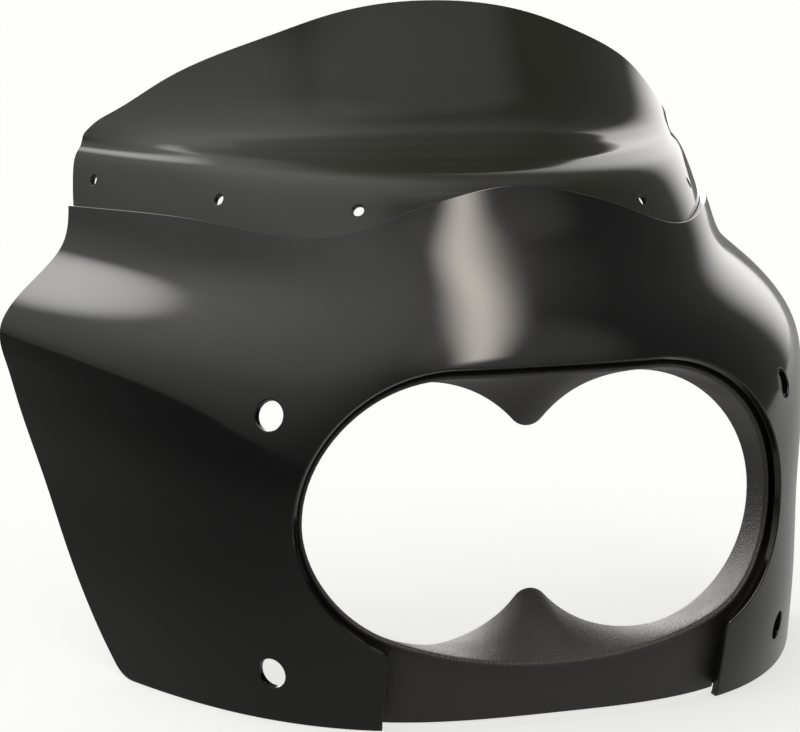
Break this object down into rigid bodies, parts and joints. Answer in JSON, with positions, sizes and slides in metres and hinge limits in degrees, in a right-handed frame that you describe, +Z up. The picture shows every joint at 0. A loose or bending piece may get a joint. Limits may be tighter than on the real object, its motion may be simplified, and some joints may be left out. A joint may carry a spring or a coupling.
{
  "type": "motorcycle fairing",
  "caption": "Front fairing for a motorcycle: gloss shell with neck and side wings, figure-eight lamp opening in a recessed grained surround, and a dark recurved windshield.",
  "frame": {"origin": "on the symmetry plane, at the height of the shell's level lower edge, midway between the foremost and the rearmost point", "axes": "+X to the right of someone who looks at the front, -Y out of the front, +Z up"},
  "size_m": [0.5812, 0.3607, 0.43],
  "materials": {
    "gloss_shell": "gloss",
    "grained_surround": "satin",
    "dark_windshield": "gloss"
  },
  "bodies": {
    "root": {"fairing_shell": "gloss_shell", "headlight_surround": "grained_surround", "windshield": "dark_windshield"}
  },
  "joints": []
}
